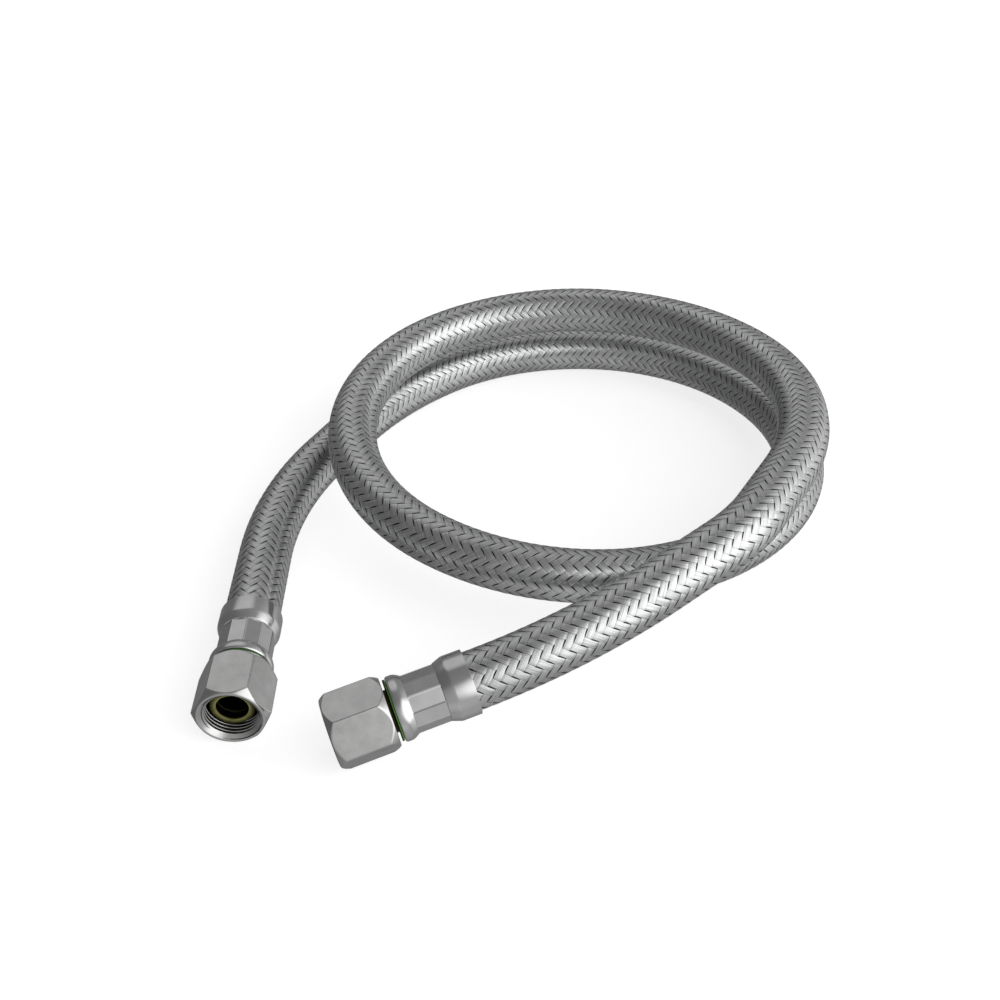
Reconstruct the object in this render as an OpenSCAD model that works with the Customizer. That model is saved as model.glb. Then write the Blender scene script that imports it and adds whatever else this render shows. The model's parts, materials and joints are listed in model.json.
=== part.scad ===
// Braided supply line: a flexible water hose with a swivel nut at each end, lying in a loose coil.
// The hose leaves end A along +Y, turns clockwise, climbs once over itself, crosses its own front
// strand and comes down to end B. The nuts and the lower strand lie on the floor.
// The origin is on the floor under the middle of nut A, +Z is up.

/* [Hose] */
// Outside diameter of the wire braid
braid_d = 15; // [14:0.1:15.2]
// Thickness of the wire braid, two crossing layers of wire
braid_wall = 1.2; // [0.8:0.1:1.3]
// Outside diameter of the inner tube
tube_d = 12.4; // [12.2:0.1:12.4]
// Bore of the inner tube
tube_bore_d = 9.5; // [9.45:0.05:9.7]

/* [Route] */
// Straight length behind ferrule A, with a bending place at its middle
tail_len = 26.5; // [24:0.5:28]
// Straight length at each of the other three bending places
flex_len = 18; // [17.5:0.5:18.5]
// Lead A between its bending places: bend radius, turn, roll
lead_a = [110, 27, 1.2]; // [-20:0.1:120]
// Approach from lead A to the coil, first arc: bend radius, turn, roll
approach_1 = [115, 24, -1.2]; // [-20:0.1:120]
// Approach from lead A to the coil, second arc: bend radius, turn, roll
approach_2 = [75, 46, -0.2]; // [-20:0.1:120]
// Turn of each of the nine arcs of the coil
coil_turn = 52.9; // [52.8:0.05:53]
// Lower strand, three arcs at the back and right: bend radii
low_r = [65, 68, 74]; // [60:1:80]
// Lower strand: roll of each arc about the hose before it bends, where a negative roll climbs
low_roll = [-1.2, -1, -1]; // [-5:0.2:2]
// Front and left strand, which climbs over lead A: bend radii
climb_r = [72, 64, 62]; // [60:1:80]
// Front and left strand: rolls
climb_roll = [-3.8, -3.4, -1.6]; // [-5:0.2:2]
// Upper strand at the back and right: bend radii
high_r = [68, 73, 67]; // [60:1:80]
// Upper strand: rolls
high_roll = [-4.6, -3, 4.2]; // [-5:0.2:5]
// Lead B between its bending places: bend radius, turn, roll
lead_b = [40, 25.5, 16.2]; // [-30:0.1:250]
// Lead B from its last bending place down to ferrule B: bend radius, turn, roll
tail_b = [220, 15, -24]; // [-30:0.1:250]

/* [Nuts] */
// Width of the nuts across their flats
nut_af = 17.5; // [17.2:0.1:17.8]
// Length of the nuts
nut_len = 15.4; // [15.2:0.1:16]
// Length of the chamfer on the corners at the mouth
mouth_chamfer = 2; // [1.6:0.1:2.4]
// Length of the chamfer on the corners at the back
back_chamfer = 2.3; // [1.8:0.1:2.6]
// Minor diameter of the internal thread, 9/16 inch with 24 turns to the inch
thread_minor_d = 13.2; // [13:0.05:13.3]
// Depth of the end of the thread below the mouth
thread_depth = 3.4; // [3.3:0.1:3.5]
// Diameter of the cone that opens the mouth
mouth_d = 16; // [15.6:0.1:16.2]
// Length of that cone
mouth_cone = 0.9; // [0.6:0.1:1]
// Thickness of the wall at the back of the nuts
back_wall = 4.2; // [3.8:0.1:4.2]
// Diameter of the hole in that wall
back_hole_d = 11; // [11:0.05:11.1]
// Travel of a nut along its nipple
nut_travel = 0.5; // [0.3:0.1:0.5]
// Turn of nut B about its own axis
nut_b_turn = 8; // [0:1:59]

/* [Ferrules] */
// Length of the collar over the braid
collar_len = 5.1; // [4.8:0.1:5.4]
// Outside diameter of the collar
collar_d = 16.7; // [16.5:0.1:16.9]
// Length of the cone between the collar and the crimp
flare_len = 2.6; // [2.4:0.1:2.8]
// Length of the crimp
crimp_len = 8.2; // [8:0.1:8.5]
// Distance across opposite crimp flats
crimp_af = 14.1; // [14:0.05:14.2]
// Diameter of the cones where they meet the crimp
crimp_cone_d = 14.8; // [14.8:0.05:15.2]
// Number of crimp flats
crimp_flats = 11; // [10:1:12]
// Turn of the crimp on ferrule B about its own axis
crimp_b_turn = 3; // [0:1:35]
// Length of the bead at the nut end
bead_len = 3.9; // [3.7:0.1:4.1]
// Outside diameter of the bead
bead_d = 16.7; // [16.5:0.1:16.9]
// Thickness of the ferrule's sheet
ferrule_wall = 0.5; // [0.4:0.05:0.55]

/* [Nipples and rings] */
// Bore of the nipples
nipple_bore_d = 8; // [7.5:0.1:8.2]
// Diameter of the nipples between their barbs
nipple_tail_d = 9.4; // [9.2:0.05:9.4]
// Diameter of the barbs' edges
barb_d = 10; // [9.8:0.1:10.2]
// Number of barbs on each nipple
barbs = 4; // [2:1:5]
// Diameter of the neck that the nut turns on
neck_d = 10.8; // [10.7:0.05:10.9]
// Diameter of the nose flange that holds the nut
nose_d = 13; // [12.6:0.1:13.1]
// Length of the nose flange
nose_len = 4.5; // [4:0.1:4.5]
// Outside diameter of the spacer rings between ferrules and nuts
spacer_d = 14.4; // [14.2:0.1:14.5]
// Length of the spacer rings
spacer_len = 1.5; // [1.3:0.1:1.6]
// How far the spacer rings stand out of the ferrules
spacer_proud = 0.65; // [0.4:0.05:0.8]
// Outside diameter of the sealing washers, held behind the thread
washer_d = 14.4; // [14.2:0.05:14.4]
// Hole of the sealing washers
washer_hole_d = 8.2; // [8:0.1:8.6]
// Thickness of the sealing washers
washer_len = 2.5; // [2.3:0.1:2.5]
// Diameter of the raised seat on the sealing washers
seat_d = 11.4; // [10.8:0.1:12]
// Height of that seat
seat_len = 1.5; // [1.2:0.1:1.6]

/* [Hidden] */
$fn = 72;

STEEL = [0.72, 0.73, 0.74];
NICKEL = [0.62, 0.62, 0.62];
OLIVE_BRASS = [0.52, 0.52, 0.26];
OLIVE_FIBRE = [0.35, 0.42, 0.18];
TUBE_BLACK = [0.06, 0.06, 0.06];

// Each stretch of the hose from ferrule A to ferrule B: bend radius, turn, roll.
// A bend radius of 0 is a straight, and its second value is its length.
function coil_arcs(radii, rolls) = [for (i = [0:2]) [radii[i], coil_turn, rolls[i]]];
route = concat(
    [[0, tail_len, 0], lead_a, [0, flex_len, 0], approach_1, approach_2],
    coil_arcs(low_r, low_roll), coil_arcs(climb_r, climb_roll), coil_arcs(high_r, high_roll),
    [[0, flex_len, 0], lead_b, [0, flex_len, 0], tail_b]);

// The straights that hold a bending place at their middle
TAIL_A_BEND = 0;
LEAD_A_BEND = 2;
LEAD_B_BEND = 14;
TAIL_B_BEND = 16;

braid_bore_d = braid_d - 2 * braid_wall;
joint_r = 8.2;           // ball on the outer side of a bending place
joint_gap = 0.3;         // between that ball and its socket

// Every second stretch is a hair thicker and laps into its neighbours, so that their walls join
function is_thick(n) = n % 2 == 0;
JOIN_SKIN = 0.01;
JOIN_LAP = 0.05;
function skin(n) = is_thick(n) ? JOIN_SKIN : 0;
function lap(n) = is_thick(n) ? JOIN_LAP : 0;

// Along a fitting, measured from the open edge of the collar towards the mouth of the nut
flare_end = collar_len + flare_len;
crimp_end = flare_end + crimp_len;
ferrule_len = crimp_end + bead_len;
braid_past_crimp = 0.6;
braid_end = crimp_end + braid_past_crimp;
spacer_start = ferrule_len + spacer_proud - spacer_len;
tube_short = 0.2;        // between the tube's end and the spacer ring
tube_end = spacer_start - tube_short;
run_clear = 0.05;        // between parts that turn or slide on each other
nut_gap = spacer_proud + run_clear + nut_travel; // ferrule to nut, with the nut fully forward
nose_start = ferrule_len + nut_gap + back_wall + run_clear;
fitting_len = ferrule_len + nut_gap + nut_len;
crimp_clear = 0.1;       // between the ferrule, the braid and the tube inside the crimp
braid_squeezed = 0.6;    // thickness of the braid inside the crimp
crimped_braid_d = crimp_af - 2 * ferrule_wall - 2 * crimp_clear;
crimped_tube_d = crimped_braid_d - 2 * braid_squeezed - crimp_clear;
cut_past = 0.1;          // how far a cut passes through a face

module ring_2d(outer_d, inner_d) {
    difference() {
        circle(d = outer_d);
        circle(d = inner_d);
    }
}

module pipe(outer_d, inner_d, length) {
    linear_extrude(length) ring_2d(outer_d, inner_d);
}

// A bend that starts at the origin along +Z and turns towards +X
module pipe_bend(outer_d, inner_d, bend_r, turn) {
    translate([bend_r, 0, 0])
        rotate([90, 0, 180])
            rotate_extrude(angle = turn, $fn = 96)
                translate([bend_r, 0]) ring_2d(outer_d, inner_d);
}

// Stretch n of the hose, drawn at the origin
module pipe_stretch(outer_d, inner_d, n) {
    stretch = route[n];
    bend_r = stretch[0];
    thick_d = outer_d + 2 * skin(n);
    thin_d = inner_d - 2 * skin(n);
    lap_turn = lap(n) / max(bend_r, 1) * 180 / PI;
    if (bend_r == 0) translate([0, 0, -lap(n)]) pipe(thick_d, thin_d, stretch[1] + 2 * lap(n));
    else rotate([0, 0, stretch[2]])
        translate([bend_r, 0, 0]) rotate([0, -lap_turn, 0]) translate([-bend_r, 0, 0])
            pipe_bend(thick_d, thin_d, bend_r, stretch[1] + 2 * lap_turn);
}

// Moves its children from the start of a stretch to its end
module past(stretch) {
    if (stretch[0] == 0) translate([0, 0, stretch[1]]) children();
    else rotate([0, 0, stretch[2]])
        translate([stretch[0], 0, 0]) rotate([0, stretch[1], 0]) translate([-stretch[0], 0, 0])
            children();
}

// Puts its children at the start of stretch n, with +Z along the hose
module at_stretch(n, from = 0) {
    if (from == n) children();
    else past(route[from]) at_stretch(n, from + 1) children();
}

module at_start() {
    translate([0, fitting_len - nut_len / 2, nut_af / 2]) rotate([-90, 0, 0]) children();
}

// The two fittings' frames start at the collar's open edge, with +Z towards the nut
module at_fitting_a() { at_start() rotate([180, 0, 0]) children(); }
module at_fitting_b() { at_start() at_stretch(len(route)) children(); }

// Half of a straight, from the bending place at the origin along +Z, which ends in a ball or socket
module half_straight(outer_d, inner_d, length, ball) {
    wall = (outer_d - inner_d) / 2;
    rotate_extrude() {
        if (ball) intersection() {
            translate([inner_d / 2, -joint_r]) square([wall, joint_r + length]);
            union() {
                circle(joint_r);
                square([outer_d, length]);
            }
        }
        else difference() {
            translate([inner_d / 2, 0]) square([wall, length]);
            circle(joint_r + joint_gap);
        }
    }
}

// The hose from the bending place in the middle of straight n to the straight's end, or its start
module half_of(outer_d, inner_d, n, ball, to_start = false) {
    half = route[n][1] / 2;
    at_stretch(n) translate([0, 0, half]) mirror([0, 0, to_start ? 1 : 0])
        half_straight(outer_d + 2 * skin(n), inner_d - 2 * skin(n), half + lap(n), ball);
}

module stretches(outer_d, inner_d, first, last) {
    for (n = [first:last]) at_stretch(n) pipe_stretch(outer_d, inner_d, n);
}

// The hose between two bending places, with a ball or socket at each end
module hose_between(outer_d, inner_d, first, last, first_ball, last_ball) {
    at_start() {
        half_of(outer_d, inner_d, first, first_ball);
        stretches(outer_d, inner_d, first + 1, last - 1);
        half_of(outer_d, inner_d, last, last_ball, to_start = true);
    }
}

// The end of the braid inside the ferrule, squeezed by the crimp. grow and start join it to the
// hose behind it.
module crimped_braid(grow, start) {
    outer_r = braid_d / 2 + grow;
    inner_r = braid_bore_d / 2 - grow;
    squeezed_r = crimped_tube_d / 2 + crimp_clear / 2;
    rotate_extrude() polygon([
        [inner_r, start], [outer_r, start], [outer_r, collar_len],
        [crimped_braid_d / 2, flare_end], [crimped_braid_d / 2, braid_end],
        [squeezed_r, braid_end], [squeezed_r, flare_end], [inner_r, collar_len]]);
}

module crimped_tube(grow, start) {
    outer_r = tube_d / 2 + grow;
    inner_r = tube_bore_d / 2 - grow;
    rotate_extrude() polygon([
        [inner_r, start], [outer_r, start], [outer_r, collar_len],
        [crimped_tube_d / 2, flare_end], [crimped_tube_d / 2, tube_end], [inner_r, tube_end]]);
}

module tail_a_hose(outer_d, inner_d) {
    at_start() half_of(outer_d, inner_d, TAIL_A_BEND, true, to_start = true);
}

module tail_b_hose(outer_d, inner_d) {
    at_start() {
        half_of(outer_d, inner_d, TAIL_B_BEND, true);
        stretches(outer_d, inner_d, TAIL_B_BEND + 1, len(route) - 1);
    }
}

module ferrule() {
    collar_r = collar_d / 2;
    cone_end_r = crimp_cone_d / 2;
    bead_r = bead_d / 2;
    bead_rise = 1.6;
    bead_round = 0.9;
    bead_break = bead_round * 0.3;
    bore_r = crimp_af / 2 - ferrule_wall;
    inner_bead_r = bead_r - ferrule_wall;
    mouth_r = spacer_d / 2 + run_clear;
    half_flat = 180 / crimp_flats;
    difference() {
        union() {
            rotate_extrude() polygon([
                [0, 0], [collar_r, 0], [collar_r, collar_len], [cone_end_r, flare_end], [0, flare_end]]);
            translate([0, 0, flare_end]) rotate([0, 0, half_flat])
                cylinder(r = crimp_af / 2 / cos(half_flat), h = crimp_len, $fn = crimp_flats);
            rotate_extrude() polygon([
                [0, crimp_end], [cone_end_r, crimp_end], [bead_r, crimp_end + bead_rise],
                [bead_r, ferrule_len - bead_round], [bead_r - bead_break, ferrule_len - bead_break],
                [bead_r - bead_round, ferrule_len], [0, ferrule_len]]);
        }
        rotate_extrude() polygon([
            [0, -cut_past], [collar_r - ferrule_wall, -cut_past], [collar_r - ferrule_wall, collar_len],
            [bore_r, flare_end], [bore_r, crimp_end], [inner_bead_r, crimp_end + bead_rise],
            [inner_bead_r, ferrule_len - ferrule_wall], [mouth_r, ferrule_len - ferrule_wall],
            [mouth_r, ferrule_len + cut_past], [0, ferrule_len + cut_past]]);
    }
}

module nipple() {
    tail_start = collar_len;
    barb_pitch = (tube_end - tail_start) / (barbs + 0.5);
    tail_r = nipple_tail_d / 2;
    barb_peak = 0.6;
    barb_foot = 0.62;
    nose_round = 0.6;
    nose_end = nose_start + nose_len;
    barb_points = [for (i = [0:barbs - 1])
        for (p = [[tail_r, 0], [barb_d / 2, barb_pitch * barb_peak],
                  [tail_r, barb_pitch * barb_foot]])
            [p[0], tail_start + i * barb_pitch + p[1]]];
    difference() {
        rotate_extrude() polygon(concat([[0, tail_start]], barb_points, [
            [tail_r, tube_end + cut_past], [neck_d / 2, tube_end + cut_past], [neck_d / 2, nose_start],
            [nose_d / 2, nose_start], [nose_d / 2, nose_end - nose_round],
            [nose_d / 2 - nose_round, nose_end], [0, nose_end]]));
        translate([0, 0, tail_start - cut_past])
            cylinder(d = nipple_bore_d, h = nose_end - tail_start + 2 * cut_past);
    }
}

module spacer_ring() {
    translate([0, 0, spacer_start]) pipe(spacer_d, neck_d + 2 * run_clear, spacer_len);
}

// Nuts and washers are drawn with the back of the nut at the origin and its mouth up +Z
module nut() {
    corner_r = nut_af / sqrt(3);
    mouth_rim_in = 0.25;
    back_rim_in = 0.15;
    mouth_rim_r = nut_af / 2 - mouth_rim_in;
    back_rim_r = nut_af / 2 - back_rim_in;
    thread_start = nut_len - thread_depth;
    thread_r = thread_minor_d / 2;
    relief_r = washer_d / 2 + run_clear;
    difference() {
        intersection() {
            cylinder(r = corner_r, h = nut_len, $fn = 6);
            rotate_extrude() polygon([
                [0, 0], [back_rim_r, 0], [corner_r, back_chamfer],
                [corner_r, nut_len - mouth_chamfer], [mouth_rim_r, nut_len], [0, nut_len]]);
        }
        rotate_extrude() polygon([
            [0, -cut_past], [back_hole_d / 2, -cut_past], [back_hole_d / 2, back_wall],
            [relief_r, back_wall], [relief_r, thread_start], [thread_r, thread_start],
            [thread_r, nut_len - mouth_cone], [mouth_d / 2, nut_len],
            [mouth_d / 2, nut_len + cut_past], [0, nut_len + cut_past]]);
    }
}

module washer() {
    flange_len = washer_len - seat_len;
    translate([0, 0, nut_len - thread_depth - cut_past - washer_len])
        rotate_extrude() polygon([
            [washer_hole_d / 2, 0], [washer_d / 2, 0], [washer_d / 2, flange_len],
            [seat_d / 2, flange_len], [seat_d / 2, washer_len], [washer_hole_d / 2, washer_len]]);
}

module at_nut_a() { at_fitting_a() translate([0, 0, ferrule_len + nut_gap]) children(); }
module at_nut_b() {
    at_fitting_b() translate([0, 0, ferrule_len + nut_gap]) rotate([0, 0, nut_b_turn]) children();
}

module braid_coil() {
    color(STEEL) hose_between(braid_d, braid_bore_d, LEAD_A_BEND, LEAD_B_BEND, false, false);
}
module braid_lead_a() {
    color(STEEL) hose_between(braid_d, braid_bore_d, TAIL_A_BEND, LEAD_A_BEND, false, true);
}
module braid_lead_b() {
    color(STEEL) hose_between(braid_d, braid_bore_d, LEAD_B_BEND, TAIL_B_BEND, true, false);
}
module braid_tail_a() {
    color(STEEL) { tail_a_hose(braid_d, braid_bore_d); at_fitting_a() crimped_braid(0, 0); }
}
module braid_tail_b() {
    color(STEEL) {
        tail_b_hose(braid_d, braid_bore_d);
        at_fitting_b() crimped_braid(JOIN_SKIN, -JOIN_LAP);
    }
}
module tube_coil() {
    color(TUBE_BLACK) hose_between(tube_d, tube_bore_d, LEAD_A_BEND, LEAD_B_BEND, false, false);
}
module tube_lead_a() {
    color(TUBE_BLACK) hose_between(tube_d, tube_bore_d, TAIL_A_BEND, LEAD_A_BEND, false, true);
}
module tube_lead_b() {
    color(TUBE_BLACK) hose_between(tube_d, tube_bore_d, LEAD_B_BEND, TAIL_B_BEND, true, false);
}
module tube_tail_a() {
    color(TUBE_BLACK) { tail_a_hose(tube_d, tube_bore_d); at_fitting_a() crimped_tube(0, 0); }
}
module tube_tail_b() {
    color(TUBE_BLACK) {
        tail_b_hose(tube_d, tube_bore_d);
        at_fitting_b() crimped_tube(JOIN_SKIN, -JOIN_LAP);
    }
}
module ferrule_a() { color(STEEL) at_fitting_a() ferrule(); }
module ferrule_b() { color(STEEL) at_fitting_b() rotate([0, 0, crimp_b_turn]) ferrule(); }
module nipple_a() { color(OLIVE_BRASS) at_fitting_a() nipple(); }
module nipple_b() { color(OLIVE_BRASS) at_fitting_b() nipple(); }
module spacer_ring_a() { color(OLIVE_FIBRE) at_fitting_a() spacer_ring(); }
module spacer_ring_b() { color(OLIVE_FIBRE) at_fitting_b() spacer_ring(); }
module washer_a() { color(OLIVE_FIBRE) at_nut_a() washer(); }
module washer_b() { color(OLIVE_FIBRE) at_nut_b() washer(); }
module nut_a() { color(NICKEL) at_nut_a() nut(); }
module nut_b() { color(NICKEL) at_nut_b() nut(); }

braid_coil();
braid_lead_a();
braid_tail_a();
braid_lead_b();
braid_tail_b();
tube_coil();
tube_lead_a();
tube_tail_a();
tube_lead_b();
tube_tail_b();
ferrule_a();
nipple_a();
spacer_ring_a();
washer_a();
nut_a();
ferrule_b();
nipple_b();
spacer_ring_b();
washer_b();
nut_b();
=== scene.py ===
"""A braided supply line: a wire-braided hose in a loose coil, with a crimped ferrule and a swivel nut
at each end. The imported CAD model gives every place; the pieces here stand for its solids."""
import json
import math

import bpy
import numpy as np
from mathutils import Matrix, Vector

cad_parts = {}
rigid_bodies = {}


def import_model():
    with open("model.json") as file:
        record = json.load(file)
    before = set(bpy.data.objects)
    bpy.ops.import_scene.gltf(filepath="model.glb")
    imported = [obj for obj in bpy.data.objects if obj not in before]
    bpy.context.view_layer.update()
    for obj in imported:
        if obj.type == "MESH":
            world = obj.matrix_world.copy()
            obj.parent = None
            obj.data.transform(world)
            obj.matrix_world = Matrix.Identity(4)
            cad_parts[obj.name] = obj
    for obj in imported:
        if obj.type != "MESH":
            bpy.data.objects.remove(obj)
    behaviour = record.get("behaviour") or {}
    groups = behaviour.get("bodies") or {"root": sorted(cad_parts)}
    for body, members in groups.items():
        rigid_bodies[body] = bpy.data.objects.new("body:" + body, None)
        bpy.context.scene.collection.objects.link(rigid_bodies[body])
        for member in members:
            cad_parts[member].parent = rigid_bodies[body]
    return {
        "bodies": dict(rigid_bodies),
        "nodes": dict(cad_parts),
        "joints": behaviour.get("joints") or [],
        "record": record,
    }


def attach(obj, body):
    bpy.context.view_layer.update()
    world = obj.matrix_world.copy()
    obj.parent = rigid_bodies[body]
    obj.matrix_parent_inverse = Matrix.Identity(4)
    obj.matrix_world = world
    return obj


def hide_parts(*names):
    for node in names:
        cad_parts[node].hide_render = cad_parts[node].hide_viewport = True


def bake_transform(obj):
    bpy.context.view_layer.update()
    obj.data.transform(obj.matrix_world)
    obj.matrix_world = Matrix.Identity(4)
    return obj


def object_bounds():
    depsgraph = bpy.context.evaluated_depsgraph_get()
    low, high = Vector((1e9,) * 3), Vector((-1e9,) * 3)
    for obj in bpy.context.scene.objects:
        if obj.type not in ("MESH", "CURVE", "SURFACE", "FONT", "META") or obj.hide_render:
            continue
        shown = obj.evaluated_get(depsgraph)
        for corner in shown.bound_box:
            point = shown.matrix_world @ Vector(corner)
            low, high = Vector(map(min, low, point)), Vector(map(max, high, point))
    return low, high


MM = 0.001
SEED = 20

# ---------------------------------------------------------------- sizes, in mm, as in the CAD model

# Each stretch of the hose from ferrule A to ferrule B: bend radius, turn and roll in degrees.
# A bend radius of 0 is a straight, and its second value is its length.
COIL_TURN = 52.9
TAIL_LEN = 26.5
FLEX_LEN = 18.0
ROUTE = [
    (0, TAIL_LEN, 0),
    (110, 27, 1.2),
    (0, FLEX_LEN, 0),
    (115, 24, -1.2),
    (75, 46, -0.2),
    (65, COIL_TURN, -1.2),
    (68, COIL_TURN, -1.0),
    (74, COIL_TURN, -1.0),
    (72, COIL_TURN, -3.8),
    (64, COIL_TURN, -3.4),
    (62, COIL_TURN, -1.6),
    (68, COIL_TURN, -4.6),
    (73, COIL_TURN, -3.0),
    (67, COIL_TURN, 4.2),
    (0, FLEX_LEN, 0),
    (40, 25.5, 16.2),
    (0, FLEX_LEN, 0),
    (220, 15, -24),
]
# The straights that hold a bending place at their middle
TAIL_A_BEND, LEAD_A_BEND, LEAD_B_BEND, TAIL_B_BEND = 0, 2, 14, 16

BRAID_R = 7.5
FERRULE_LEN = 19.8
NUT_GAP = 1.2            # between a ferrule and its nut
NUT_LEN = 15.4
FITTING_LEN = FERRULE_LEN + NUT_GAP + NUT_LEN
NUT_TURNS = {"a": 0.0, "b": 8.0}
CRIMP_TURNS = {"a": 0.0, "b": 3.0}

# ---------------------------------------------------------------- frames and the hose's route


def turned(axis, degrees):
    """A 4x4 turn about the x, y or z axis."""
    a = math.radians(degrees)
    c, s = math.cos(a), math.sin(a)
    i, j = {"x": (1, 2), "y": (2, 0), "z": (0, 1)}[axis]
    m = np.eye(4)
    m[i, i] = m[j, j] = c
    m[i, j], m[j, i] = -s, s
    return m


def moved(x, y, z):
    m = np.eye(4)
    m[:3, 3] = x, y, z
    return m


def stretch_end(bend_r, turn, roll):
    """The step from the start of a stretch to its end, or to a share of it."""
    if bend_r == 0:
        return moved(0, 0, turn)
    return turned("z", roll) @ moved(bend_r, 0, 0) @ turned("y", turn) @ moved(-bend_r, 0, 0)


class Hose:
    """The hose's centreline, in mm: places and a frame that doesn't twist, by distance along it."""

    STEP = 0.25

    def __init__(self, start):
        self.start = start
        self.joins = [0.0]
        rows, along = [], []

        def add_row(here, roll_so_far, distance):
            untwisted = here @ turned("z", -roll_so_far)
            rows.append(np.concatenate([here[:3, 3], untwisted[:3, 0], untwisted[:3, 1]]))
            along.append(distance)

        frame, roll_sum = start, 0.0
        for bend_r, turn, roll in ROUTE:
            length = turn if bend_r == 0 else bend_r * math.radians(turn)
            steps = max(2, int(length / self.STEP))
            roll_sum += roll
            for i in range(steps):
                here = frame @ stretch_end(bend_r, turn * i / steps, roll)
                add_row(here, roll_sum, self.joins[-1] + length * i / steps)
            frame = frame @ stretch_end(bend_r, turn, roll)
            self.joins.append(self.joins[-1] + length)
        add_row(frame, roll_sum, self.joins[-1])
        self.end = frame
        self.table = np.array(rows)
        self.along = np.array(along)
        self.length = self.joins[-1]

    def at(self, s):
        """Place, side and up vectors at distances s. Past the ends, the hose runs straight on."""
        inside = np.clip(s, 0.0, self.length)
        values = np.stack([np.interp(inside, self.along, c) for c in self.table.T], axis=-1)
        place, side, up = values[..., :3], values[..., 3:6], values[..., 6:]
        past = s - inside
        ahead = np.where((past < 0)[..., None], self.start[:3, 2], self.end[:3, 2])
        return place + past[..., None] * ahead, side, up

    def points(self, s, angle, r):
        """Points at radius r round the centreline."""
        place, side, up = self.at(s)
        out = np.cos(angle)[..., None] * side + np.sin(angle)[..., None] * up
        return place + r[..., None] * out

    def middle(self, n):
        """Distance of the middle of stretch n."""
        return (self.joins[n] + self.joins[n + 1]) / 2

    def place(self, s):
        return self.at(np.array(s))[0]


ROUTE_TOLERANCE = 0.05


def fitting_frames(frame):
    """The hose, which starts from nut A's place in the record, and the frames of the two fittings."""
    joints = {joint["name"]: joint for joint in frame["joints"]}
    mouth = np.array(joints["nut_a_spin"]["pos_m"]) / MM
    out = np.array(joints["nut_a_spin"]["axis"])
    start = moved(*(mouth - out * FITTING_LEN)) @ turned("x", -90)
    hose = Hose(start)
    expected = {
        "lead_a_swing": hose.place(hose.middle(LEAD_A_BEND)),
        "lead_b_swing": hose.place(hose.middle(LEAD_B_BEND)),
        "end_b_lift": hose.place(hose.middle(TAIL_B_BEND)),
        "nut_b_spin": (hose.end @ moved(0, 0, FITTING_LEN))[:3, 3],
    }
    for name, place in expected.items():
        gap = np.linalg.norm(place - np.array(joints[name]["pos_m"]) / MM)
        if gap > ROUTE_TOLERANCE:
            raise RuntimeError(f"the route is {gap:.2f} mm off the packed model at {name}")
    return hose, {"a": start @ turned("x", 180), "b": hose.end}


# ---------------------------------------------------------------- meshes


def make_piece(name, points, quads, attributes, material, smooth_angle=None):
    """A mesh object from points in mm and quads, shaded smooth up to smooth_angle between faces."""
    mesh = bpy.data.meshes.new(name)
    mesh.from_pydata((points * MM).tolist(), [], quads.tolist())
    mesh.validate()
    mesh.update()
    for key, values in attributes.items():
        attribute = mesh.attributes.new(key, "FLOAT", "POINT")
        attribute.data.foreach_set("value", values.astype(np.float32))
    mesh.materials.append(material)
    mesh.shade_smooth()
    if smooth_angle:
        mesh.set_sharp_from_angle(angle=math.radians(smooth_angle))
    piece = bpy.data.objects.new(name, mesh)
    bpy.context.scene.collection.objects.link(piece)
    return piece


def grid_quads(rows, columns, wrap_rows, wrap_columns):
    """Quads of a grid of points numbered row by row."""
    i = np.arange(rows if wrap_rows else rows - 1)
    j = np.arange(columns if wrap_columns else columns - 1)
    i, j = np.meshgrid(i, j, indexing="ij")
    here, below = i * columns, (i + 1) % rows * columns
    right = (j + 1) % columns
    return np.stack([here + j, below + j, below + right, here + right], axis=-1).reshape(-1, 4)


LONGEST_CUT = 0.48       # of a side, so that the rounded corners at its ends don't meet


def rounded(corners, steps=4):
    """A closed profile from (z, r, cut) corners, each rounded over the length of its cut."""
    profile = []
    count = len(corners)
    for n, (z, r, cut) in enumerate(corners):
        here = np.array([z, r])
        before = np.array(corners[n - 1][:2]) - here
        after = np.array(corners[(n + 1) % count][:2]) - here
        if cut == 0:
            profile.append(here)
            continue
        entry, leave = (
            here + side / np.linalg.norm(side) * min(cut, np.linalg.norm(side) * LONGEST_CUT)
            for side in (before, after)
        )
        for t in np.linspace(0, 1, steps + 1):
            profile.append((1 - t) ** 2 * entry + 2 * t * (1 - t) * here + t**2 * leave)
    return np.array(profile)


def turned_piece(name, place, z, r, angles, material, inside, smooth_angle=40):
    """A closed ring of revolution whose profile z and radius r may change with the angle. inside is
    the painted shade: 1 where a place is deep in a bore or a groove."""
    points = np.stack([r * np.cos(angles), r * np.sin(angles), z + 0 * angles], axis=-1)
    world = points.reshape(-1, 3) @ place[:3, :3].T + place[:3, 3]
    quads = grid_quads(*r.shape, True, True)
    return make_piece(name, world, quads, {"inside": inside.ravel()}, material, smooth_angle)


# ---------------------------------------------------------------- materials


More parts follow.
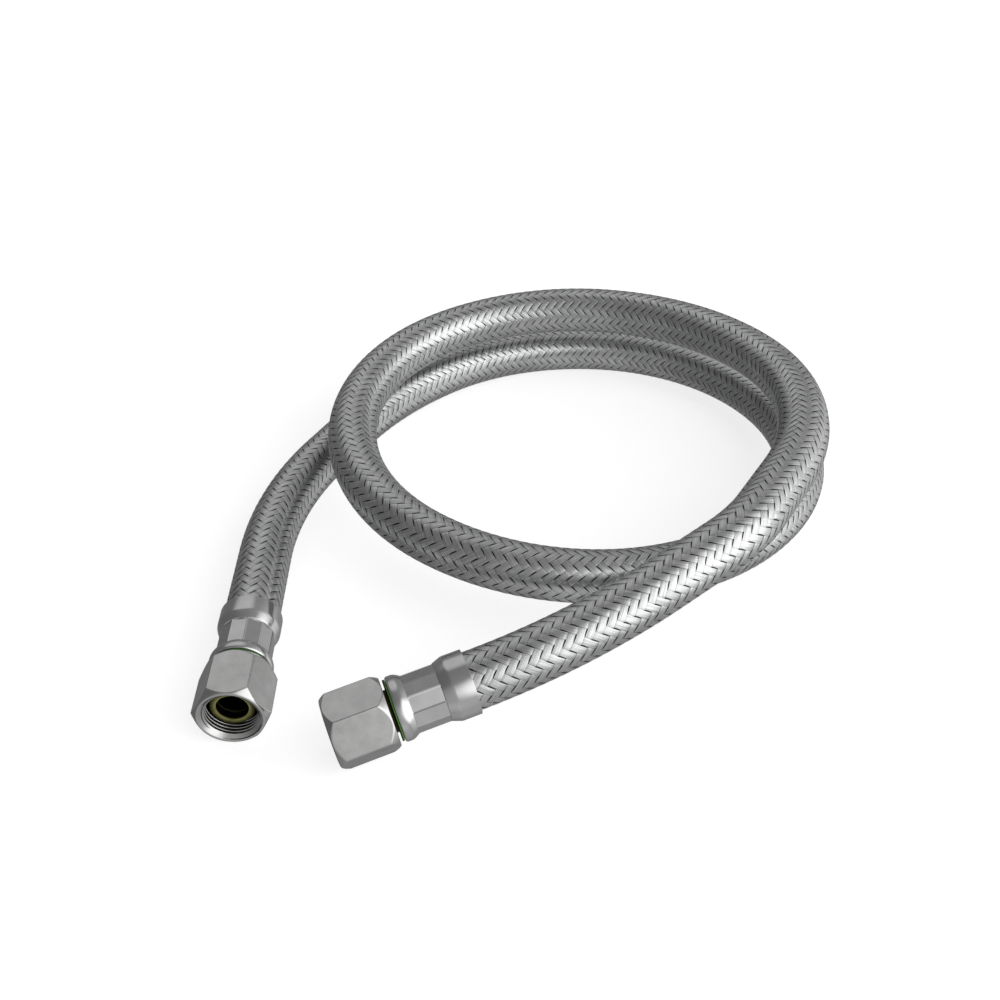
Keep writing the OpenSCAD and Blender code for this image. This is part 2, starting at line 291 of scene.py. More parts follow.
class Shader:
    """One node material, built step by step."""

    def __init__(self, name):
        self.material = bpy.data.materials.new(name)
        self.material.use_nodes = True
        self.nodes = self.material.node_tree.nodes
        self.links = self.material.node_tree.links
        self.surface = self.nodes["Principled BSDF"]

    def add(self, kind, inputs=None, **settings):
        new = self.nodes.new("ShaderNode" + kind)
        for key, value in settings.items():
            setattr(new, key, value)
        for key, value in (inputs or {}).items():
            self.feed(new, key, value)
        return new

    def feed(self, new, key, value):
        if isinstance(value, bpy.types.NodeSocket):
            self.links.new(value, new.inputs[key])
        else:
            new.inputs[key].default_value = value

    def attribute(self, name):
        return self.add("Attribute", attribute_name=name).outputs["Fac"]

    def noise(self, scale, detail=3.0, stretch=None):
        """Noise in object space, from 0 to 1. The scale is in waves to the metre."""
        place = self.add("TexCoord").outputs["Object"]
        if stretch:
            place = self.add("Mapping", {"Vector": place, "Scale": stretch}).outputs["Vector"]
        keys = {"Vector": place, "Scale": scale, "Detail": detail}
        return self.add("TexNoise", keys).outputs["Fac"]

    def math(self, operation, a, b=0.0):
        return self.add("Math", {0: a, 1: b}, operation=operation).outputs[0]

    def product(self, *factors):
        total = factors[0]
        for factor in factors[1:]:
            total = self.math("MULTIPLY", total, factor)
        return total

    def between(self, fac, low, high, start=0.3, end=0.7):
        """fac from start to end, mapped to low to high."""
        keys = {"Value": fac, "From Min": start, "From Max": end, "To Min": low, "To Max": high}
        return self.add("MapRange", keys).outputs["Result"]

    def mix(self, fac, a, b):
        """The colour between a and b."""
        a, b = ((*c, 1.0) if isinstance(c, tuple) else c for c in (a, b))
        return self.add("Mix", {0: fac, 6: a, 7: b}, data_type="RGBA").outputs[2]

    def bump(self, height, distance, strength):
        keys = {"Height": height, "Distance": distance, "Strength": strength}
        return self.add("Bump", keys).outputs["Normal"]

    def finish(self, **values):
        for key, value in values.items():
            self.feed(self.surface, key.replace("_", " "), value)
        return self.material


WIRE_DULL = (0.74, 0.745, 0.75)
WIRE_BRIGHT = (0.88, 0.885, 0.89)
WIRE_RELIEF = 0.03       # how far a wire stands above the grooves beside it, in mm
# Painted shade: the colours that the metal and the softer parts take deep in bores and grooves, where
# shade falls
METAL_PAINTED_SHADE = (0.03, 0.03, 0.025)
PAINTED_SHADE_BLACK = (0.002, 0.002, 0.002)


def braid_material():
    """Bright wire in flat bands of eight. Over a band, across runs from -1 to 1; up is 1 where it
    passes over the others and -1 where it passes under; band is a random number for each band. Where a
    band passes under, at its edges and between two wires, the wire is painted darker as shade."""
    sh = Shader("braided_steel_wire")
    across = sh.attribute("across")
    wires = sh.math("ABSOLUTE", sh.math("SINE", sh.product(across, math.pi * WIRES_TO_A_BAND / 2)))
    colour = sh.mix(sh.between(sh.noise(140.0), 0.0, 1.0), WIRE_DULL, WIRE_BRIGHT)
    # Painted shade: darker where a band passes under, at a band's edges and between two wires; the
    # streaks are random tone along each wire
    under = sh.between(sh.attribute("up"), UNDER_SHADE, 1.0, -0.6, 0.35)
    edge = sh.between(sh.math("ABSOLUTE", across), 1.0, EDGE_SHADE, 0.86, 1.0)
    grooves = sh.between(wires, GROOVE_SHADE, 1.0, 0.0, 0.5)
    keys = {0: sh.product(across, 2.4), 1: sh.product(sh.attribute("band"), 90.0)}
    wire = sh.add("CombineXYZ", keys).outputs[0]
    streaks = sh.add("TexNoise", {"Vector": wire, "Scale": 1.3}).outputs["Fac"]
    shade = sh.product(under, edge, grooves, sh.between(streaks, DULLEST_WIRE, 1.0))
    grey = sh.add("CombineColor", {0: shade, 1: shade, 2: shade}).outputs[0]
    toned = sh.add("Mix", {0: 1.0, 6: colour, 7: grey}, data_type="RGBA", blend_type="MULTIPLY")
    rough = sh.between(sh.noise(900.0), 0.26, 0.36)
    normal = sh.bump(wires, WIRE_RELIEF * MM, 0.5)
    return sh.finish(Base_Color=toned.outputs[2], Metallic=1.0, Roughness=rough, Normal=normal)


def metal_material(name, low, high, rough_low, rough_high, mottle):
    """Plated or pressed metal with a faint mottling, and painted shade, near black, where the attribute
    inside is 1.
    """
    sh = Shader(name)
    mottling = sh.noise(mottle, 3.0)
    colour = sh.mix(sh.between(mottling, 0.0, 1.0), low, high)
    # Painted shade: the colour goes towards near black where the attribute inside is 1, deep in a groove
    painted_shade = sh.between(sh.attribute("inside"), 0.0, 0.85, 0.1, 0.9)
    colour = sh.mix(painted_shade, colour, METAL_PAINTED_SHADE)
    rough = sh.between(sh.noise(mottle * 2.3, 3.0), rough_low, rough_high)
    normal = sh.bump(sh.noise(mottle * 12, 2.0), 0.004 * MM, 0.02)
    return sh.finish(Base_Color=colour, Metallic=1.0, Roughness=rough, Normal=normal)


def soft_material(name, low, high, rough, grain, metallic=0.0):
    """Fibre, rubber or dull plated brass. The attribute inside is 1 deep in a bore, where the colour is
    painted black as shade and loses its shine.
    """
    sh = Shader(name)
    colour = sh.mix(sh.between(sh.noise(500.0, 4.0), 0.0, 1.0), low, high)
    # Painted shade: deep in a bore the colour turns black and the shine is taken away
    inside = sh.attribute("inside")
    keys = {
        "Base_Color": sh.mix(inside, colour, PAINTED_SHADE_BLACK),
        "Specular_IOR_Level": sh.between(inside, 0.5, 0.0, 0.0, 1.0),
        "Metallic": sh.between(inside, metallic, 0.0, 0.0, 1.0),
        "Roughness": sh.between(sh.noise(1200.0), rough - 0.06, rough + 0.06),
        "Normal": sh.bump(sh.noise(grain, 4.0), 0.03 * MM, 0.4),
    }
    return sh.finish(**keys)


# ---------------------------------------------------------------- the braid

CARRIERS = 16            # bands in each of the two directions
LAY = 48.5               # length of the hose in which a band goes round once
WIRES_TO_A_BAND = 8
BAND_W = 2.08
BAND_CROWN = 0.05        # how far a band's middle stands above its edges
BAND_UNDER = 0.10        # how far a band's underside lies below its edges
OVER_R = BRAID_R - BAND_CROWN
UNDER_R = OVER_R - 0.18
GAP_SHARE = 0.16         # how far a band's edge draws in beside its neighbour, leaving a gap where the band beneath shows with its painted shade
BAND_SINKS = 0.015       # how much lower than the others a band may lie
UNDER_SHADE = 0.06       # how bright the braid is painted where it passes under, seen through the gaps: painted shade
EDGE_SHADE = 0.62        # and, as painted shade, at the edges of a band
GROOVE_SHADE = 0.55      # and, as painted shade, between two wires
DULLEST_WIRE = 0.62
# Places along a band between the point where it comes up and the one where it goes down, in
# crossings, and how far up it is there. A band passes over two others and then under two.
FLOAT_PLACES = [0.12, 0.45, 1.0, 1.55, 1.88]
FLOAT_HEIGHTS = [0.5, 0.96, 1.0, 0.96, 0.5]
ACROSS = [-1.0, -0.62, 0.0, 0.62, 1.0]
CROSSING = LAY / (2 * CARRIERS)   # length of the hose from one crossing of a band to the next
LEAN = 2 * math.pi * BRAID_R / LAY   # tangent of a band's angle to the hose


def band_path(way, k, first, last):
    """Rows along band k of those that turn one way, between two distances along the hose: place in
    crossings, how far up the band is, and distance. One row more closes the joint to the next length."""
    ends = sorted((way * first / CROSSING, way * last / CROSSING))
    low = math.floor((ends[0] + 2 * k) / 2) - 1
    high = math.ceil((ends[1] + 2 * k) / 2) + 2
    floats = np.repeat(np.arange(low, high), len(FLOAT_PLACES))
    x = -0.5 + 2 * floats + np.tile(FLOAT_PLACES, high - low)
    up = np.tile(FLOAT_HEIGHTS, high - low) * np.where(floats % 2 == 0, 1, -1) * way
    s = way * (x - 2 * k) * CROSSING
    x, up, s = x[::way], up[::way], s[::way]
    keep = slice(np.searchsorted(s, first), np.searchsorted(s, last) + 1)
    return x[keep], up[keep], s[keep]


def braid_bands(hose, first, last):
    """Points, quads and attributes of the bands between two distances along the hose."""
    random = np.random.default_rng(SEED)
    across_turn = BAND_W / 2 / BRAID_R / math.hypot(1, LEAN)
    across_run = BAND_W / 2 * LEAN / math.hypot(1, LEAN)
    v = np.array(ACROSS + [0.0])
    rise = BAND_CROWN * (1 - v**2)
    rise[-1] = -BAND_UNDER
    all_points, all_quads, count = [], [], 0
    attributes = {"across": [], "band": [], "up": []}
    for way in (1, -1):
        for k in range(CARRIERS):
            lift = random.uniform(-BAND_SINKS, 0.0)
            tone = random.uniform(0, 1)
            x, up, s = band_path(way, k, first, last)
            base = (OVER_R + UNDER_R) / 2 + up * (OVER_R - UNDER_R) / 2 + lift
            first_half = (x + 0.5) % 2 < 1.01
            wide = np.repeat(v[None, :], len(s), axis=0)
            wide[first_half, -2] -= GAP_SHARE
            wide[~first_half, 0] += GAP_SHARE
            angle = np.radians(x * 180 / CARRIERS)[:, None] + wide * across_turn
            run = s[:, None] - way * wide * across_run
            points = hose.points(run, angle, base[:, None] + rise).reshape(-1, 3)
            all_points.append(points)
            all_quads.append(grid_quads(len(s), len(v), False, True) + count)
            count += len(points)
            attributes["across"].append(np.tile(v, len(s)))
            attributes["band"].append(np.full(len(points), tone))
            attributes["up"].append(np.repeat(up, len(v)))
    attributes = {name: np.concatenate(values) for name, values in attributes.items()}
    return np.concatenate(all_points), np.concatenate(all_quads), attributes


# ---------------------------------------------------------------- the hose

TUBE_R = 6.2
TUBE_BORE_R = 4.75
CRIMPED_TUBE_R = 5.2     # of the tube where the ferrule squeezes it
TUBE_BEFORE_CRIMP = 5.0  # how far it runs into the ferrule before that
SLEEVE_IN_COLLAR = 3.0
TUBE_IN_FERRULE = 16.0
COIL_PIECES = 4
TAIL_A_HALF = 12.0       # half the length that bends at tail A
BEND_HALF = 16.0         # and at the other three bending places


def tube_skin(hose, first, last, step=2.0, sides=28):
    """The inner tube between two distances, its outside and its bore as one closed skin: points,
    quads and no attributes."""
    s = np.linspace(first, last, max(3, int((last - first) / step)))
    angle = np.linspace(0, 2 * math.pi, sides, endpoint=False)
    rows = np.concatenate([s, s[::-1]])
    radius = np.concatenate([np.full(len(s), TUBE_R), np.full(len(s), TUBE_BORE_R)])
    crimped = (rows < -TUBE_BEFORE_CRIMP) | (rows > hose.length + TUBE_BEFORE_CRIMP)
    radius = np.where(crimped & (radius == TUBE_R), CRIMPED_TUBE_R, radius)
    grid_s, grid_angle = np.meshgrid(rows, angle, indexing="ij")
    points = hose.points(grid_s, grid_angle, np.repeat(radius[:, None], sides, axis=1))
    return points.reshape(-1, 3), grid_quads(len(rows), sides, True, True), {}


def build_hose(hose, braid, rubber):
    """The sleeve and the tube: rigid lengths that ride on a body, and the lengths at the bends between
    two bodies, which stay where they are built, on no body.
    """
    bends = (TAIL_A_BEND, LEAD_A_BEND, LEAD_B_BEND, TAIL_B_BEND)
    tail_a, lead_a, lead_b, tail_b = (hose.middle(n) for n in bends)
    coil = np.linspace(lead_a + BEND_HALF, lead_b - BEND_HALF, COIL_PIECES + 1)
    # Name, body, the body at the far end of a bending length, start and stop
    lengths = [
        ("tail_a", "end_a", None, 0.0, tail_a - TAIL_A_HALF),
        ("bend_tail_a", "lead_a", "end_a", tail_a + TAIL_A_HALF, tail_a - TAIL_A_HALF),
        ("lead_a", "lead_a", None, tail_a + TAIL_A_HALF, lead_a - BEND_HALF),
        ("bend_lead_a", "coil", "lead_a", lead_a + BEND_HALF, lead_a - BEND_HALF),
        *((f"coil_{n + 1}", "coil", None, coil[n], coil[n + 1]) for n in range(COIL_PIECES)),
        ("bend_lead_b", "coil", "lead_b", lead_b - BEND_HALF, lead_b + BEND_HALF),
        ("lead_b", "lead_b", None, lead_b + BEND_HALF, tail_b - BEND_HALF),
        ("bend_tail_b", "lead_b", "end_b", tail_b - BEND_HALF, tail_b + BEND_HALF),
        ("tail_b", "end_b", None, tail_b + BEND_HALF, hose.length),
    ]
    for name, body, child, start, stop in lengths:
        first, last = min(start, stop), max(start, stop)
        node = name.replace("bend_", "")
        node = "coil" if node.startswith("coil") else node
        at_a, at_b = name == "tail_a", name == "tail_b"
        sleeve = make_piece(
            "sleeve_" + name,
            *braid_bands(hose, first - SLEEVE_IN_COLLAR * at_a, last + SLEEVE_IN_COLLAR * at_b),
            braid,
            smooth_angle=50,
        )
        tube = make_piece(
            "inner_tube_" + name,
            *tube_skin(hose, first - TUBE_IN_FERRULE * at_a, last + TUBE_IN_FERRULE * at_b),
            rubber,
        )
        for piece, kind in ((sleeve, "braid"), (tube, "tube")):
            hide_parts(f"{kind}_{node}")
            if child:
                ends = [tuple(hose.place(x) * MM) for x in (start, stop)]
                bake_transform(piece)
            else:
                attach(piece, body)


# ---------------------------------------------------------------- the fittings, each along its z axis


def spread_angles(count, corners, pull=0.0):
    """Angles round a part, drawn towards its corners by pull."""
    share = np.linspace(0, corners, count * corners, endpoint=False)
    whole = np.floor(share)
    part = share - whole
    bent = part - pull * np.sin(2 * math.pi * part) / (2 * math.pi)
    return (whole + bent) * 2 * math.pi / corners


def flats_r(angle, count, flat_r, sharpness, phase=0.0):
    """Radius of a prism with rounded corners; phase is the angle of a corner."""
    total = np.zeros_like(angle)
    for i in range(count):
        middle = phase + (i + 0.5) * 2 * math.pi / count
        total += np.maximum(np.cos(angle - middle), 0.0) ** sharpness
    return flat_r * total ** (-1 / sharpness)


def softer_min(a, b, width):
    """The lesser of two radii, with the edge between them rounded."""
    share = np.clip(0.5 + 0.5 * (b - a) / width, 0, 1)
    return b * (1 - share) + a * share - width * share * (1 - share)


# The nut, from its back at 0 to its mouth
NUT_AF = 17.5
MOUTH_RIM_R = 8.5
BACK_RIM_R = 8.6
MOUTH_CHAMFER = 2.0
BACK_CHAMFER = 2.3
EDGE_WIDTH = 0.10        # of the rounded edges between the flats and the chamfers
LIP_R = 8.0
MOUTH_CONE = 0.9
CONE_END_R = 6.9
THREAD_R = 6.6
THREAD_ROOT_R = 7.2
THREAD_RUN_IN_R = 8.15   # of the groove where the thread begins in the lead-in cone
THREAD_RUN_IN = 0.36     # how far from the mouth that groove reaches
THREAD_BEGINS = 0.08     # share of a turn
THREAD_PITCH = 25.4 / 24
THREAD_LEN = 5.0
THREAD_ROWS = 32         # rows of points to a pitch
RELIEF_R = 7.25
BACK_WALL = 4.2
BACK_HOLE_R = 5.5


def hex_nut(name, place, material):
    """A hexagon nut: chamfered hexagon outside, lead-in cone, thread and washer seat inside. Rows of
    points run from the back wall's inside over the outside to the mouth and down the thread."""
    angle = spread_angles(30, 6, 0.75)
    corner_r = NUT_AF / math.sqrt(3)
    hexagon = flats_r(angle, 6, NUT_AF / 2, 90)
    rows = []

    def row(z, r, shade=0.0):
        rows.append((z + 0 * angle, r + 0 * angle, shade + 0 * angle))

    def outside_rows(heights):
        for z in heights:
            back = BACK_RIM_R + (corner_r - BACK_RIM_R) * z / BACK_CHAMFER
            mouth = MOUTH_RIM_R + (corner_r - MOUTH_RIM_R) * (NUT_LEN - z) / MOUTH_CHAMFER
            row(z, softer_min(hexagon, np.full_like(angle, min(back, mouth)), EDGE_WIDTH))

    # The hole in the back wall and the rounded rim of the back
    row(BACK_WALL, BACK_HOLE_R + 0.2)
    row(BACK_WALL - 0.2, BACK_HOLE_R)
    row(0.25, BACK_HOLE_R)
    row(0.0, BACK_HOLE_R + 0.25)
    row(0.0, BACK_RIM_R - 0.5)
    row(0.0, BACK_RIM_R - 0.22)
    row(0.04, BACK_RIM_R - 0.08)
    outside_rows(np.arange(0.14, BACK_CHAMFER + 0.35, 0.12))
    outside_rows(np.linspace(BACK_CHAMFER + 0.5, NUT_LEN - MOUTH_CHAMFER - 0.5, 7))
    outside_rows(np.arange(NUT_LEN - MOUTH_CHAMFER - 0.35, NUT_LEN - 0.1, 0.12))
    # The rim of the mouth and its lip
    row(NUT_LEN - 0.04, MOUTH_RIM_R - 0.06)
    row(NUT_LEN, MOUTH_RIM_R - 0.18)
    row(NUT_LEN, LIP_R + 0.14)
    row(NUT_LEN - 0.05, LIP_R)
    thread_end = NUT_LEN - THREAD_LEN
    # Painted shade: the thread's grooves are painted darker, most at their roots, through the attribute
    # inside
    for z in np.arange(NUT_LEN - 0.08, thread_end - 0.01, -THREAD_PITCH / THREAD_ROWS):
        phase = (z / THREAD_PITCH - angle / (2 * math.pi) + THREAD_BEGINS) % 1.0
        crest = np.clip(3.0 * np.abs(phase - 0.5) - 0.25, 0, 1)
        crest = crest**2 * (3 - 2 * crest)
        run_in = np.clip((z - NUT_LEN + THREAD_RUN_IN) / 0.1, 0, 1)
        root = THREAD_ROOT_R + (THREAD_RUN_IN_R - THREAD_ROOT_R) * run_in
        tooth = root - (root - THREAD_R) * crest
        cone = CONE_END_R + (LIP_R - CONE_END_R) * (z - NUT_LEN + MOUTH_CONE) / MOUTH_CONE
        row(z, np.maximum(tooth, cone), np.where(tooth > cone + 0.02, 1 - crest, 0.0))
    # The relief behind the thread is painted with full shade
    row(thread_end - 0.1, RELIEF_R, 1.0)
    row(BACK_WALL + 0.1, RELIEF_R, 1.0)
    row(BACK_WALL, RELIEF_R - 0.1, 1.0)
    z, r, inside = np.stack(rows, axis=1)
    return turned_piece(name, place, z, r, angle[None, :], material, inside, smooth_angle=70)


# The ferrule, from its collar at 0 to the bead at its front
COLLAR_R = 8.35
COLLAR_LEN = 5.1
FLARE_LEN = 2.6
CRIMP_LEN = 8.2
CRIMP_FLAT_R = 7.05
CRIMP_CONE_R = 7.45
CRIMP_FLATS = 11
CRIMP_LEDGE = 0.12       # of the crimp's ends below the cones
CRIMP_RIDGE = 0.07       # how far the edge between two flats stands proud
BEAD_R = 8.35
BEAD_CONE_LEN = 1.7
CURL_R = 7.25            # of the hole in the bead's front
SHEET = 0.5


def ferrule(name, place, material):
    """The pressed sheet ferrule: collar, cone, crimp with eleven flats, cone and bead."""
    angle = spread_angles(20, CRIMP_FLATS, 0.7) + math.pi / CRIMP_FLATS
    flare_end = COLLAR_LEN + FLARE_LEN
    crimp_end = flare_end + CRIMP_LEN
    bead_start = crimp_end + BEAD_CONE_LEN
    inner_r = CRIMP_FLAT_R - SHEET
    corners = [
        (0.0, BRAID_R + 0.06, 0.03),
        (0.0, COLLAR_R, 0.08),
        (COLLAR_LEN, COLLAR_R, 0.45),
        (flare_end - CRIMP_LEDGE, CRIMP_CONE_R, 0.12),
        (flare_end, CRIMP_FLAT_R, 0.0),
        (flare_end + 0.15, CRIMP_FLAT_R, 0.0),
        (crimp_end - 0.15, CRIMP_FLAT_R, 0.0),
        (crimp_end, CRIMP_FLAT_R, 0.0),
        (crimp_end + CRIMP_LEDGE, CRIMP_CONE_R, 0.12),
        (bead_start, BEAD_R, 0.7),
        (FERRULE_LEN - 0.1, BEAD_R, 0.9),
        (FERRULE_LEN, CURL_R, 0.12),
        (FERRULE_LEN - SHEET, CURL_R, 0.12),
        (FERRULE_LEN - SHEET, BEAD_R - SHEET, 0.2),
        (bead_start, BEAD_R - SHEET, 0.3),
        (crimp_end, inner_r, 0.2),
        (flare_end, inner_r, 0.2),
        (COLLAR_LEN, COLLAR_R - SHEET, 0.2),
        (0.6, COLLAR_R - SHEET, 0.2),
    ]
    profile = rounded(corners, 5)
    z, r = profile[:, :1], profile[:, 1:]
    pressed = flats_r(angle, CRIMP_FLATS, CRIMP_FLAT_R, 900, math.pi / CRIMP_FLATS)
    from_ridge = ((angle / (2 * math.pi / CRIMP_FLATS)) % 1.0) - 0.5
    ridge = CRIMP_RIDGE * np.exp(-((from_ridge / 0.028) ** 2))
    on_flats = np.isclose(r, CRIMP_FLAT_R)
    r = np.where(on_flats, (pressed + ridge)[None, :], r + 0 * angle[None, :])
    z = z + 0 * r
    return turned_piece(name, place, z, r, angle[None, :], material, 0 * r, smooth_angle=30)


def ring(name, place, corners, material, shade, sides=96):
    """A turned part with rounded edges. shade(z, r) gives the painted shade at a place, from 0 to 1, by
    how far inside it is.
    """
    profile = rounded(corners)
    angle = np.linspace(0, 2 * math.pi, sides, endpoint=False)
    r = np.repeat(profile[:, 1:], sides, axis=1)
    z = profile[:, :1] + 0 * r
    return turned_piece(name, place, z, r, angle[None, :], material, shade(z, r))


# The nipple and the spacer ring, whose places are from the ferrule's collar
NIPPLE_TAIL_R = 4.7
BARB_R = 5.0
BARBS = 4
NIPPLE_BORE_R = 4.0
NECK_R = 5.4
NOSE_R = 6.5
NOSE_LEN = 4.5
NOSE_END = FERRULE_LEN + NUT_GAP + BACK_WALL + 0.05 + NOSE_LEN
TAIL_START = 5.1
TAIL_END = 18.75


def nipple(name, place, material):
    """The nipple: barbed tail, neck and nose flange, with a straight bore. Its bore, neck and tail are
    painted black as shade; only the nose's outside keeps its colour.
    """
    pitch = (TAIL_END - TAIL_START) / (BARBS + 0.5)
    nose_start = NOSE_END - NOSE_LEN
    corners = []
    for i in range(BARBS):
        z = TAIL_START + i * pitch
        corners += [(z, NIPPLE_TAIL_R, 0.05), (z + 0.6 * pitch, BARB_R, 0.04)]
    corners += [
        (TAIL_END, NIPPLE_TAIL_R, 0.1),
        (TAIL_END + 0.1, NECK_R, 0.1),
        (nose_start, NECK_R, 0.1),
        (nose_start, NOSE_R, 0.15),
        (NOSE_END, NOSE_R, 0.6),
        (NOSE_END, NIPPLE_BORE_R, 0.15),
        (NOSE_END - 0.6, NIPPLE_BORE_R, 0.0),
        (NOSE_END - 2.0, NIPPLE_BORE_R, 0.0),
        (TAIL_START, NIPPLE_BORE_R, 0.1),
    ]

    # Painted shade over the bore, the neck and the tail
    def shade(z, r):
        return np.where((r < NIPPLE_BORE_R + 0.3) | (z < nose_start - 0.1), 1.0, 0.0)

    return ring(name, place, corners, material, shade)


RING_HOLE_R = 5.45
RING_R = 7.2             # where it sits in the ferrule
RING_RIM_R = 7.8         # of its rim outside the ferrule
RING_LEN = 1.5
RING_END = FERRULE_LEN + 0.65


def spacer_ring(name, place, material):
    """The green ring between nut and ferrule, painted black as shade where it faces the nut."""
    corners = [
        (RING_END - RING_LEN, RING_HOLE_R, 0.1),
        (RING_END - RING_LEN, RING_R, 0.1),
        (FERRULE_LEN + 0.03, RING_R, 0.0),
        (FERRULE_LEN + 0.03, RING_RIM_R, 0.05),
        (FERRULE_LEN + 0.25, RING_RIM_R, 0.0),
        (FERRULE_LEN + 0.40, RING_RIM_R, 0.0),
        (RING_END, RING_RIM_R, 0.1),
        (RING_END, RING_HOLE_R, 0.1),
    ]

    # Painted shade on the side that faces the nut
    def shade(z, r):
        return np.clip((z - RING_END + 0.4) / 0.15, 0, 1)

    return ring(name, place, corners, material, shade)


# The washer, whose place is from the back of the nut
WASHER_BORE_R = 4.1
WASHER_R = 7.2
SEAT_R = 5.7             # of its raised seat
WASHER_LEN = 2.5
WASHER_FLANGE_LEN = 1.0
WASHER_END = NUT_LEN - 3.5


def washer(name, place, material):
    """The sealing washer in the nut, with a raised seat, painted with shade everywhere but on the seat's
    inner edge.
    """
    start = WASHER_END - WASHER_LEN
    corners = [
        (start, WASHER_BORE_R, 0.15),
        (start, WASHER_R, 0.2),
        (start + WASHER_FLANGE_LEN, WASHER_R, 0.15),
        (start + WASHER_FLANGE_LEN, SEAT_R, 0.1),
        (WASHER_END, SEAT_R, 0.5),
        (WASHER_END, WASHER_BORE_R, 0.15),
        (WASHER_END - 0.6, WASHER_BORE_R, 0.0),
        (WASHER_END - 1.4, WASHER_BORE_R, 0.0),
    ]

    # Painted shade below the seat's face and, at 0.8, over the seat's outer part
    def shade(z, r):
        depth = np.clip((WASHER_END - 0.1 - z) / 0.2, 0, 1)
        return np.maximum(depth, 0.8 * np.clip((r - WASHER_BORE_R - 0.6) / 0.4, 0, 1))

    return ring(name, place, corners, material, shade)


def build_fitting(end, fitting, materials):
    """One end's ferrule, nipple, spacer ring, washer and nut."""
    crimped = fitting @ turned("z", CRIMP_TURNS[end])
    nut_back = fitting @ moved(0, 0, FERRULE_LEN + NUT_GAP) @ turned("z", NUT_TURNS[end])
    parts = [
        (ferrule, "crimped_ferrule", crimped, "end", "ferrule"),
        (nipple, "barbed_nipple", fitting, "end", "nipple"),
        (spacer_ring, "green_ring", fitting, "end", "spacer_ring"),
        (washer, "sealing_washer", nut_back, "seal", "washer"),
        (hex_nut, "swivel_nut", nut_back, "nut", "nut"),
    ]
    for make, name, place, body, slot in parts:
        piece = make(f"{name}_{end}", place, materials[slot])
        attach(piece, f"{body}_{end}")
        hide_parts(f"{slot}_{end}")


# ---------------------------------------------------------------- floor, light and camera

FLOOR_REACH = 40         # times the size of the object
FLOOR_GAP = 0.02         # below the object, in mm
FLOOR_GLOW = 0.74        # so that it is white up to the object's soft shadow


def build_floor(low, high):
    """A large pale floor under the object, seen by the camera but not mirrored in the metal."""
    reach = FLOOR_REACH * (high - low).length
    centre = (low + high) / 2
    z = low.z - FLOOR_GAP * MM
    ways = ((-1, -1), (1, -1), (1, 1), (-1, 1))
    corners = [(centre.x + x * reach, centre.y + y * reach, z) for x, y in ways]
    mesh = bpy.data.meshes.new("floor")
    mesh.from_pydata(corners, [], [(0, 1, 2, 3)])
    sh = Shader("pale_floor")
    grain = sh.between(sh.noise(30.0), 0.60, 0.62)
    white = (1.0, 1.0, 1.0, 1.0)
    sh.finish(Base_Color=grain, Roughness=0.9, Emission_Color=white, Emission_Strength=FLOOR_GLOW)
    mesh.materials.append(sh.material)
    floor = bpy.data.objects.new("floor", mesh)
    bpy.context.scene.collection.objects.link(floor)
    floor.visible_glossy = False


# Soft boxes of the studio as the metal mirrors them: direction, angles in degrees from their
# middle where they begin to fade and where they end, and brightness
SOFT_BOXES = [
    ((0.75, -0.48, 0.45), 20, 46, 1.25),
    ((1.0, 0.05, 0.10), 15, 60, 0.45),
    ((-0.28, 0.66, 0.70), 14, 32, 0.36),
    ((0.0, -1.0, 0.05), 20, 60, 0.20),
    ((0.0, -0.60, -0.80), 15, 50, 0.14),
]
STUDIO_GREY = 0.26
LEFT_TO_RIGHT = 0.10     # how much brighter the right of the studio is than its middle


def build_world():
    """White where the camera looks past the floor, and a grey studio with soft boxes in the metal."""
    world = bpy.data.worlds.new("studio")
    bpy.context.scene.world = world
    world.use_nodes = True
    nodes, links = world.node_tree.nodes, world.node_tree.links
    look = nodes.new("ShaderNodeTexCoord").outputs["Generated"]

    def towards(direction, low, high, floor_value, top_value):
        """top_value where the look is along direction, fading to floor_value."""
        dot = nodes.new("ShaderNodeVectorMath")
        dot.operation = "DOT_PRODUCT"
        links.new(look, dot.inputs[0])
        dot.inputs[1].default_value = np.array(direction) / np.linalg.norm(direction)
        fade = nodes.new("ShaderNodeMapRange")
        fade.interpolation_type = "SMOOTHSTEP"
        links.new(dot.outputs["Value"], fade.inputs["Value"])
        ends = {"From Min": low, "From Max": high, "To Min": floor_value, "To Max": top_value}
        for key, value in ends.items():
            fade.inputs[key].default_value = value
        return fade.outputs["Result"]

    light = towards((1, 0, 0), -1, 1, STUDIO_GREY - LEFT_TO_RIGHT, STUDIO_GREY + LEFT_TO_RIGHT)
    for direction, fade_from, fade_to, brightness in SOFT_BOXES:
        near, far = math.cos(math.radians(fade_from)), math.cos(math.radians(fade_to))
        total = nodes.new("ShaderNodeMath")
        links.new(light, total.inputs[0])
        links.new(towards(direction, far, near, 0.0, brightness), total.inputs[1])
        light = total.outputs[0]
    studio = nodes.new("ShaderNodeBackground")
    white = nodes.new("ShaderNodeBackground")
    links.new(light, studio.inputs["Color"])
    white.inputs["Color"].default_value = (1, 1, 1, 1)
    path = nodes.new("ShaderNodeLightPath")
    mix = nodes.new("ShaderNodeMixShader")
    links.new(path.outputs["Is Camera Ray"], mix.inputs[0])
    links.new(studio.outputs[0], mix.inputs[1])
    links.new(white.outputs[0], mix.inputs[2])
    links.new(mix.outputs[0], nodes["World Output"].inputs["Surface"])


VIEW_AZIMUTH = 1.04
VIEW_ELEVATION = 36.76
VIEW_DISTANCE = 382.1
VIEW_TARGET = (-12.5, 12.7)   # from the middle of the model's box, on the floor
LENS = 43.28


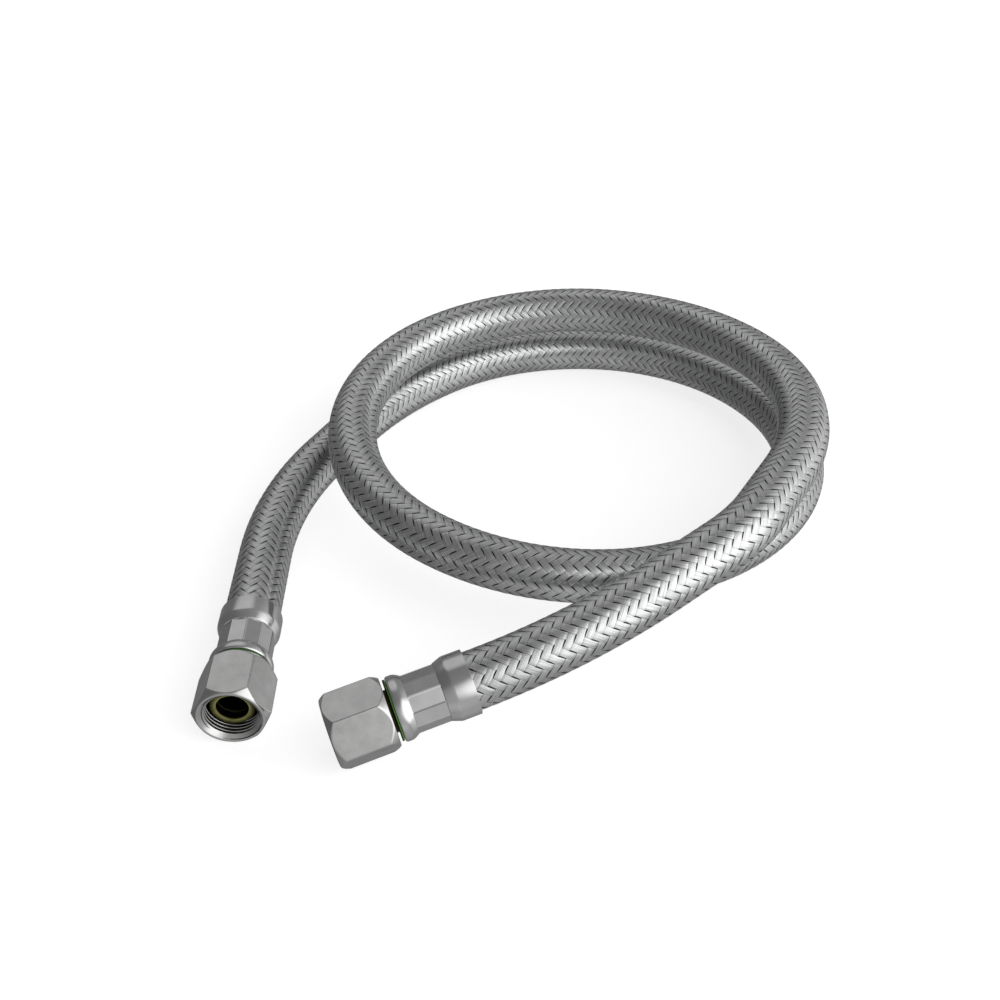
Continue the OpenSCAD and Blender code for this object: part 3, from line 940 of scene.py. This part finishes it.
def build_camera(low, high):
    """The camera looks down at the coil from in front of end A."""
    azimuth, elevation = math.radians(VIEW_AZIMUTH), math.radians(VIEW_ELEVATION)
    ahead = Vector((
        math.sin(azimuth) * math.cos(elevation),
        math.cos(azimuth) * math.cos(elevation),
        -math.sin(elevation),
    ))
    middle = (low + high) / 2
    target = Vector((middle.x + VIEW_TARGET[0] * MM, middle.y + VIEW_TARGET[1] * MM, 0.0))
    camera = bpy.data.cameras.new("camera")
    camera.lens = LENS
    camera.sensor_width = 36
    camera.clip_start = 0.01
    holder = bpy.data.objects.new("camera", camera)
    holder.location = target - ahead * VIEW_DISTANCE * MM
    holder.rotation_euler = ahead.to_track_quat("-Z", "Y").to_euler()
    bpy.context.scene.collection.objects.link(holder)
    bpy.context.scene.camera = holder


# ---------------------------------------------------------------- the whole

# What metal_material and soft_material take, in their order
METALS = {
    "ferrule": ("pressed_steel", (0.62, 0.62, 0.625), (0.68, 0.68, 0.685), 0.14, 0.20, 260.0),
    "nut": ("satin_nickel", (0.54, 0.54, 0.535), (0.64, 0.64, 0.635), 0.20, 0.28, 240.0),
}
SOFT_MATERIALS = {
    "nipple": ("olive_brass", (0.26, 0.24, 0.09), (0.36, 0.33, 0.14), 0.42, 2000.0, 0.7),
    "spacer_ring": ("green_fibre", (0.05, 0.17, 0.01), (0.08, 0.24, 0.02), 0.45, 1800.0),
    "washer": ("olive_fibre", (0.14, 0.15, 0.03), (0.24, 0.22, 0.07), 0.5, 1500.0),
    "tube": ("black_rubber", (0.012, 0.012, 0.012), (0.03, 0.03, 0.03), 0.5, 900.0),
}


def main():
    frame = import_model()
    cad_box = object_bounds()
    hose, fittings = fitting_frames(frame)
    materials = {slot: metal_material(*values) for slot, values in METALS.items()}
    materials.update((slot, soft_material(*values)) for slot, values in SOFT_MATERIALS.items())
    build_hose(hose, braid_material(), materials["tube"])
    for end, fitting in fittings.items():
        build_fitting(end, fitting, materials)
    build_floor(*cad_box)
    build_world()
    build_camera(*cad_box)
    bpy.context.scene.view_settings.view_transform = "Standard"


main()
